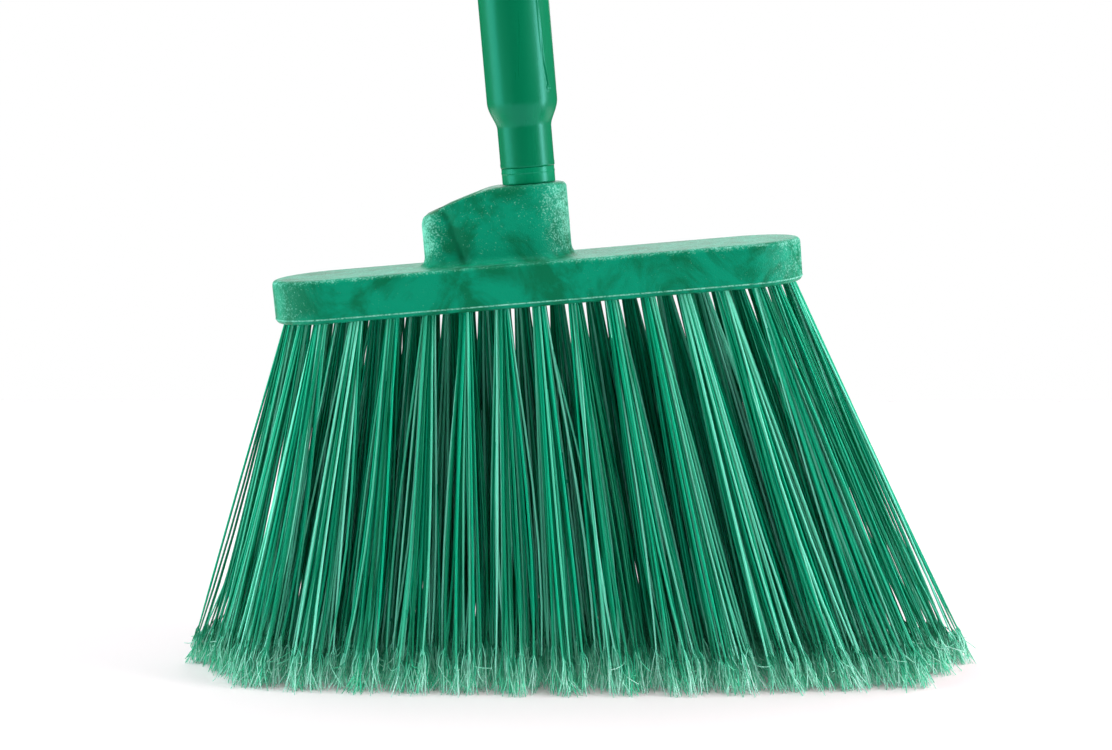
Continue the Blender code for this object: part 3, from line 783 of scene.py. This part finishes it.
def drawn_steel(name):
    """Grey metal with fine lines round the tube left by drawing."""
    made, tree, shader = new_material(name)
    place = add_node(tree, "ShaderNodeTexCoord").outputs["Object"]
    stretched = add_node(tree, "ShaderNodeMapping", {"Vector": place, "Scale": (1.0, 1.0, 0.02)})
    lines = add_node(
        tree, "ShaderNodeTexNoise", {"Vector": stretched.outputs[0], "Scale": 1 / DRAWN_LINE, "Detail": 2.0}
    )
    gloss = add_node(tree, "ShaderNodeMapRange", {0: lines.outputs[0], 3: 0.25, 4: 0.45})
    tree.links.new(gloss.outputs[0], shader.inputs["Roughness"])
    shader.inputs["Base Color"].default_value = colour("#b9bbbd")
    shader.inputs["Metallic"].default_value = 1.0
    return made


sleeve_plastic = green_plastic("extruded_polypropylene_sleeve", "#007049", 0.3, 5 * MM, 0.04 * MM)
moulded_plastic = green_plastic("moulded_polypropylene", "#007d54", 0.28, 3 * MM, 0.03 * MM)
steel = drawn_steel("drawn_steel")
tube = frame["nodes"]["handle_tube"]
tube.data.materials.clear()
tube.data.materials.append(steel)

# %% [markdown]
# ## The sleeve
#
# The sleeve is a turned profile: straight for over a metre, then drawn in where the tube is swaged to its
# neck, and rolled into two fine beads at its end. One long crease runs down its side and stops in a small
# loop just above the shoulder. So its radius is a function of two parameters, height and angle.

# %% The sleeve's radius over height and angle
SEAT_GAP = 0.25 * MM  # the real sleeve is pressed onto the collar
sleeve_head = to_head(node_points("handle_sleeve"), SOCKET_TOP)
SLEEVE_LOW = sleeve_head[:, 2].min() - SEAT_GAP
SLEEVE_TOP = sleeve_head[:, 2].max()
SLEEVE_RADIUS = np.hypot(sleeve_head[:, 0], sleeve_head[:, 1]).max()
neck_ring = sleeve_head[sleeve_head[:, 2] < SLEEVE_LOW + 1 * MM]
NECK_RADIUS = np.hypot(neck_ring[:, 0], neck_ring[:, 1]).max()
SHOULDER_LOW = SLEEVE_LOW + 14.5 * MM
SHOULDER_HIGH = SHOULDER_LOW + 10 * MM
SLEEVE_WALL = 0.35 * MM
CREASE_ANGLE = math.radians(-38)  # from +X: front right
CREASE_STOP = SHOULDER_HIGH + 3.5 * MM
CREASE_HEIGHT = 0.5 * MM
LOOP_RADIUS = 0.9 * MM
LOOP_HEIGHT = 0.28 * MM


def sleeve_radius(height):
    """Neck radius, then half a cosine wave up to the full one, with two small bell-shaped beads low down."""
    share = np.clip((height - SHOULDER_LOW) / (SHOULDER_HIGH - SHOULDER_LOW), 0, 1)
    rise = (1 - np.cos(np.pi * share**0.85)) / 2
    radius = NECK_RADIUS + (SLEEVE_RADIUS - NECK_RADIUS) * rise
    for bead in (0.5 * MM, 1.3 * MM):
        radius = radius + 0.1 * MM * np.exp(-((height - SLEEVE_LOW - bead) / (0.35 * MM)) ** 2)
    return radius - 0.12 * MM * np.exp(-((height - SLEEVE_LOW) / (0.3 * MM)) ** 2)


def crease_height(height, angle):
    """A bell-shaped ridge that ends low down in a small loop, and swings and fades away higher up."""
    above = np.clip(height - CREASE_STOP, 0, None)
    drift = CREASE_ANGLE - math.radians(11) * (1 - np.exp(-above / (14 * MM)))
    off = (angle - drift) * SLEEVE_RADIUS
    along = 1 / (1 + np.exp(-(height - CREASE_STOP) / (0.6 * MM)))
    fade = np.exp(-above / (60 * MM))
    ridge = CREASE_HEIGHT * np.exp(-(off / (0.45 * MM)) ** 2) * along * fade
    around = np.hypot(off, height - CREASE_STOP) - LOOP_RADIUS
    return ridge + LOOP_HEIGHT * np.exp(-(around / (0.3 * MM)) ** 2)


# %% The sleeve's mesh
fine = np.radians(np.linspace(-18, 8, 50)) + CREASE_ANGLE
coarse = np.linspace(CREASE_ANGLE + math.radians(10), CREASE_ANGLE + 2 * np.pi - math.radians(20), 110)
SLEEVE_ANGLES = np.concatenate([fine, coarse])
low_heights = np.linspace(SLEEVE_LOW, CREASE_STOP + 8 * MM, 110)
high_heights = np.linspace(CREASE_STOP + 14 * MM, SLEEVE_TOP, 60)
SLEEVE_HEIGHTS = np.concatenate([low_heights, high_heights])


def ring_grid(radius, heights, angles):
    """Head points of a radius given on a grid of heights and angles."""
    across = np.stack([radius * np.cos(angles), radius * np.sin(angles)], -1)
    return np.concatenate([across, np.broadcast_to(heights[:, None, None], (*radius.shape, 1))], -1)


def make_sleeve():
    """Outer skin down to the lower end, then back up inside it one wall in, closed at the top."""
    height, angle = np.meshgrid(SLEEVE_HEIGHTS, SLEEVE_ANGLES, indexing="ij")
    outer = sleeve_radius(height) + crease_height(height, angle)
    inner = sleeve_radius(height) - SLEEVE_WALL
    skin = ring_grid(outer, SLEEVE_HEIGHTS, SLEEVE_ANGLES)
    lining = ring_grid(inner, SLEEVE_HEIGHTS, SLEEVE_ANGLES)
    grid = np.concatenate([lining[::-1], skin, lining[-1:]])
    points = to_world(grid.reshape(-1, 3), SOCKET_TOP)
    faces = grid_faces(len(grid), len(SLEEVE_ANGLES))
    return piece("swaged_sleeve", points, faces.tolist(), sleeve_plastic)


sleeve = make_sleeve()
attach(sleeve, "handle")
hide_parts("handle_sleeve")

# %% [markdown]
# ## The threaded tip, and the threads in the sockets
#
# A screw thread is a profile that repeats every pitch and climbs one pitch a turn. So all that matters at a
# point is its height, less its share of a turn times the pitch. A broom thread's profile is a trapezoid: flat
# crest, sloping flank, flat root. The same function cuts the tip and lines the sockets.

# %% A trapezoid that climbs
THREAD_PITCH = 5.08 * MM
THREAD_RADIUS = 19.05 / 2 * MM
THREAD_DEPTH = 1.7 * MM
THREAD_LENGTH = 19 * MM
RUN_OUT_START = 0.8 * MM
tip_head = to_head(node_points("threaded_tip"), SOCKET_TOP)
TIP_TOP = tip_head[:, 2].max()
COLLAR_RADIUS = np.hypot(tip_head[:, 0], tip_head[:, 1]).max()
COLLAR_TOP = 6.1 * MM
SPIGOT_RADIUS = 8.4 * MM


def thread_wave(height, angle):
    """0 on the root, 1 on the crest: a triangle wave of height less pitch times turns, cut flat at both."""
    turn = height / THREAD_PITCH - angle / (2 * np.pi)
    triangle = 1 - 2 * np.abs(turn - np.round(turn))
    return np.clip((triangle - 0.5) * 3.2 + 0.4, 0, 1)


def tip_radius(height, angle):
    """Spigot, collar and threaded shank by height, with chamfered ends and a thread that runs out softly."""
    radius = np.where(height > COLLAR_TOP, SPIGOT_RADIUS, COLLAR_RADIUS)
    run_in = np.clip((height + THREAD_LENGTH - 0.6 * MM) / (2 * MM), 0, 1)
    run_out = np.clip((-RUN_OUT_START - height) / (1.5 * MM), 0, 1)
    shank = THREAD_RADIUS - THREAD_DEPTH * (1 - thread_wave(height, angle) * run_in * run_out)
    radius = np.where(height < 0.2 * MM, shank, radius)
    chamfer = np.minimum(np.minimum(height + THREAD_LENGTH, TIP_TOP - height), 1.1 * MM) - 1.1 * MM
    from_edge = np.minimum(np.abs(height - COLLAR_TOP), np.abs(height - 0.3 * MM))
    edge = np.minimum(from_edge, 0.15 * MM) - 0.15 * MM
    bead = 0.14 * MM * np.exp(-(((height - COLLAR_TOP + 1.8 * MM) / (0.35 * MM)) ** 2))
    return radius + chamfer + np.where((height > 0.2 * MM) & (height <= COLLAR_TOP), edge + bead, 0)


# %% The tip
ROUND = np.linspace(0, 2 * np.pi, 72, endpoint=False)


def make_tip():
    """Rings from the shank's end to the spigot's, each end closed by a ring of no radius."""
    shank = np.linspace(-THREAD_LENGTH, 0.19 * MM, 120)
    collar = np.linspace(0.21 * MM, 6.09 * MM, 40)
    spigot = np.linspace(6.11 * MM, TIP_TOP, 16)
    heights = np.concatenate([shank, collar, spigot])
    height, angle = np.meshgrid(heights, ROUND, indexing="ij")
    grid = ring_grid(tip_radius(height, angle), heights, ROUND)
    low = np.broadcast_to([0, 0, heights[0]], grid[:1].shape)
    high = np.broadcast_to([0, 0, heights[-1]], grid[:1].shape)
    grid = np.concatenate([low, grid, high])
    points = to_world(grid.reshape(-1, 3), SOCKET_TOP)
    faces = grid_faces(len(grid), len(ROUND)).tolist()
    made = piece("threaded_tip_moulding", points, faces, moulded_plastic)
    close_poles(made)
    return made


def close_poles(made):
    """Merges the points that a ring of no radius leaves on top of each other."""
    shape = bmesh.new()
    shape.from_mesh(made.data)
    bmesh.ops.remove_doubles(shape, verts=shape.verts, dist=0.001 * MM)
    shape.to_mesh(made.data)
    shape.free()


tip = make_tip()
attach(tip, "tip")
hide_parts("threaded_tip")


# %% Threads inside the two sockets
LINING_START = 1.2 * MM
LINING_BURIED = 0.4 * MM
THREAD_PLAY = 0.15 * MM
CREST_CUT = 0.35 * MM


def socket_thread(name, mouth, direction):
    """A lining: its outside is buried in the socket's wall, and its inside is the thread's wave, set in."""
    side = np.array([direction[2], 0.0, -direction[0]])
    heights = np.linspace(-SOCKET_DEPTH + 1.5 * MM, -LINING_START, 110)
    height, angle = np.meshgrid(heights, ROUND, indexing="ij")
    ease = np.clip((-LINING_START - height) / (1.5 * MM), 0, 1)
    crest = (1 - thread_wave(height, angle)) * ease
    inner = ring_grid(THREAD_RADIUS + THREAD_PLAY - (THREAD_DEPTH - CREST_CUT) * crest, heights, ROUND)
    outer = ring_grid(np.full_like(height, SOCKET_RADIUS + LINING_BURIED), heights, ROUND)
    grid = np.concatenate([inner[::-1], outer, inner[-1:]]).reshape(-1, 3)
    head = mouth + grid[:, :1] * side + grid[:, 1:2] * ACROSS + grid[:, 2:] * direction
    rows = len(heights) * 2 + 1
    faces = grid_faces(rows, len(ROUND)).tolist()
    return piece(name, to_world(head, UNDERSIDE), faces, foamed_polypropylene)


straight_mouth = np.array([0.0, 0.0, BOSS_TOP])
for name, mouth, direction in (
    ("straight_socket_thread", straight_mouth, np.array([0.0, 0.0, 1.0])),
    ("angled_socket_thread", lean_mouth, LEAN_NORMAL),
):
    lining = socket_thread(name, mouth, direction)
    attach(lining, "head")

# %% [markdown]
# ## The hang cap
#
# The cap is a plug with a flattened eye. Its solid has the right shape but hard facets, so it is remeshed
# evenly and relaxed: each point moves half way to the middle of its neighbours, which rounds every edge.

# %% Relax the cap
def relax(points, faces, rounds):
    """Moves each point half way to the average of its neighbours along the quads' edges, again and again."""
    corners = np.array([face for face in faces if len(face) == 4])
    edges = np.concatenate([corners[:, [k, (k + 1) % 4]] for k in range(4)])
    edges = np.concatenate([edges, edges[:, ::-1]])
    count = np.bincount(edges[:, 0], minlength=len(points))[:, None]
    for _ in range(rounds):
        sums = [np.bincount(edges[:, 0], points[edges[:, 1], k], len(points)) for k in range(3)]
        points = points + 0.5 * (np.stack(sums, 1) / np.maximum(count, 1) - points)
    return points


CAP_VOXEL = 0.6 * MM
cap_even, cap_faces = remeshed_points("hang_cap", CAP_VOXEL)
cap = piece("hang_cap_moulding", relax(cap_even, cap_faces, 6), cap_faces, moulded_plastic)
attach(cap, "handle")
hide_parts("hang_cap")
print(f"cap: {len(cap_even)} points")

# %% [markdown]
# ## Floor, light and camera
#
# The broom stands on a sheet of white paper. Two tall soft boxes stand to the sides, the right one brighter,
# so round parts carry a streak on each side and stay dark in the middle. What lights the broom otherwise is a
# white tent, darker in front: its light grows as the fourth power of how far sideways a ray points. The tent
# is plain white to the camera and nearly black to mirror rays. The paper is a little pink, which evens out
# the green that the broom and the tinted left box throw on it, and it glows faintly, as if lit from below.

# %% White paper
floor_paint, floor_tree, floor_shader = new_material("white_paper")
floor_shader.inputs["Base Color"].default_value = colour("#eedfe3")
floor_shader.inputs["Roughness"].default_value = 0.9
floor_shader.inputs["Specular IOR Level"].default_value = 0.0
floor_shader.inputs["Emission Color"].default_value = colour("#fff0f2")
floor_shader.inputs["Emission Strength"].default_value = 0.1
FLOOR_HALF = 0.62
floor_points = np.array([[-1, -1, 0], [1, -1, 0], [1, 1, 0], [-1, 1, 0]]) * FLOOR_HALF
floor = piece("floor", floor_points, [(0, 1, 2, 3)], floor_paint)

# %% Tent
world = bpy.data.worlds.new("studio")
bpy.context.scene.world = world
world.use_nodes = True
sky = world.node_tree
sky.nodes.clear()
ray = add_node(sky, "ShaderNodeLightPath")
aim = add_node(sky, "ShaderNodeTexCoord").outputs["Generated"]
parts = add_node(sky, "ShaderNodeSeparateXYZ", {0: aim})
sideways = add_node(sky, "ShaderNodeMath", {0: parts.outputs[0], 1: 4.0}, operation="POWER")
tent = add_node(sky, "ShaderNodeMapRange", {0: sideways.outputs[0], 3: 0.23, 4: 2.95})
fill = add_node(sky, "ShaderNodeBackground", {"Color": colour("#ffffff"), "Strength": tent.outputs[0]})
backdrop = add_node(sky, "ShaderNodeBackground", {"Color": colour("#ffffff"), "Strength": 1.0})
dark = add_node(sky, "ShaderNodeBackground", {"Color": colour("#ffffff"), "Strength": 0.03})
mirror = add_node(
    sky, "ShaderNodeMixShader", {0: ray.outputs["Is Glossy Ray"], 1: fill.outputs[0], 2: dark.outputs[0]}
)
seen = add_node(
    sky,
    "ShaderNodeMixShader",
    {0: ray.outputs["Is Camera Ray"], 1: mirror.outputs[0], 2: backdrop.outputs[0]},
)
add_node(sky, "ShaderNodeOutputWorld", {"Surface": seen.outputs[0]})


# %% Soft boxes
def soft_box(name, azimuth, distance, width, height, centre_height, radiance, tint="#ffffff"):
    """A rectangular lamp at an azimuth from the front, positive to the right, that faces the handle level.

    A flat lamp's power is its radiance times pi times its area.
    """
    lamp = bpy.data.lights.new(name, "AREA")
    lamp.shape = "RECTANGLE"
    lamp.size = width
    lamp.size_y = height
    lamp.color = colour(tint)[:3]
    lamp.energy = radiance * math.pi * width * height
    made = bpy.data.objects.new(name, lamp)
    bpy.context.scene.collection.objects.link(made)
    turn = math.radians(azimuth)
    made.location = (distance * math.sin(turn), -distance * math.cos(turn), centre_height)
    made.rotation_euler = (math.pi / 2, 0, turn)
    return made


soft_box("right_soft_box", 76, 1.1, 0.34, 1.2, 0.45, 9.0)
soft_box("left_soft_box", -82, 1.1, 0.7, 1.2, 0.45, 3.3, "#a0fff2")
soft_box("back_soft_box", 180, 2.2, 1.6, 1.6, 1.2, 2.2)
overhead = soft_box("overhead_soft_box", 0, 0.0, 1.6, 1.6, 2.4, 3.4)
overhead.rotation_euler = (0, 0, 0)

# %% Camera
camera_data = bpy.data.cameras.new("camera")
camera_data.lens = 57
camera_data.sensor_width = 36
camera = bpy.data.objects.new("camera", camera_data)
bpy.context.scene.collection.objects.link(camera)
camera.location = (-0.0056, -0.6565, 0.213)
camera.rotation_euler = (math.radians(90 - 8.6), 0, 0)
bpy.context.scene.camera = camera
bpy.context.scene.view_settings.view_transform = "Standard"
